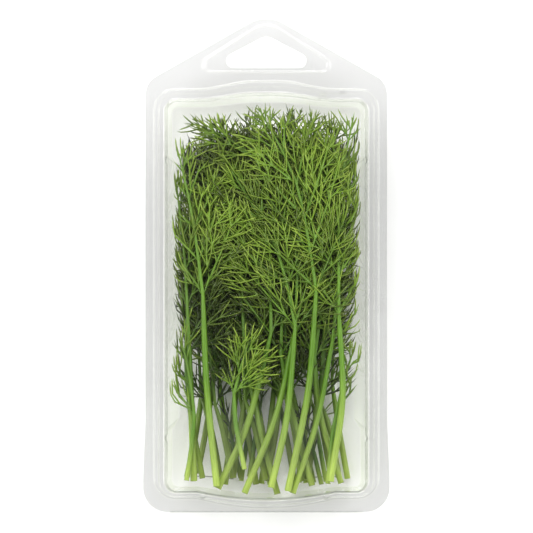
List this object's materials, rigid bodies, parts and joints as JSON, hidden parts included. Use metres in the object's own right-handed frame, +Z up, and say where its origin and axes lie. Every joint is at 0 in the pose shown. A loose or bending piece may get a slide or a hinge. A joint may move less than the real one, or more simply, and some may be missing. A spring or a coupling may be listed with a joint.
{
  "type": "dill bunch",
  "caption": "Cut dill sprigs lying in layers in a clear hinged clamshell pack with a peaked hang tab.",
  "frame": {"origin": "on the surface that the pack lies on, under the middle of the whole pack", "axes": "+X to the right and +Y towards the hang tab as the front is seen, +Z up, out of the pack's front"},
  "size_m": [0.102, 0.2048, 0.027],
  "materials": {
    "clear_sheet": "clear thermoformed sheet, glossy",
    "dill": "fresh green herb, soft sheen"
  },
  "bodies": {
    "pack": {"tray": "clear_sheet", "living_hinge": "clear_sheet", "sprig_front_left": "dill", "sprig_front_middle": "dill", "sprig_front_tall": "dill", "sprig_front_right": "dill", "sprig_second_left": "dill", "sprig_second_arching": "dill", "sprig_second_middle": "dill", "sprig_second_right": "dill", "sprig_third_left": "dill", "sprig_third_middle": "dill", "sprig_third_tall": "dill", "sprig_third_right": "dill", "sprig_short_left": "dill", "sprig_short_middle": "dill", "sprig_short_right": "dill", "sprig_back_1_1": "dill", "sprig_back_1_2": "dill", "sprig_back_1_3": "dill", "sprig_back_1_4": "dill", "sprig_back_2_1": "dill", "sprig_back_2_2": "dill", "sprig_back_2_3": "dill", "sprig_back_2_4": "dill", "sprig_back_3_1": "dill", "sprig_back_3_2": "dill", "sprig_back_3_3": "dill", "sprig_back_3_4": "dill", "sprig_back_4_1": "dill", "sprig_back_4_2": "dill", "sprig_back_4_3": "dill", "sprig_back_4_4": "dill", "sprig_back_5_1": "dill", "sprig_back_5_2": "dill", "sprig_back_5_3": "dill", "sprig_back_5_4": "dill", "sprig_low_1_3": "dill", "sprig_low_2_2": "dill", "sprig_low_3_1": "dill", "sprig_low_3_3": "dill", "sprig_low_4_2": "dill", "sprig_low_5_3": "dill"},
    "lid": {"lid": "clear_sheet"}
  },
  "joints": [
    {"name": "lid_hinge", "type": "hinge", "parent": "pack", "child": "lid", "pos_m": [0, -0.1019, 0.01965], "axis": [1, 0, 0], "range_deg": [0, 180]}
  ]
}
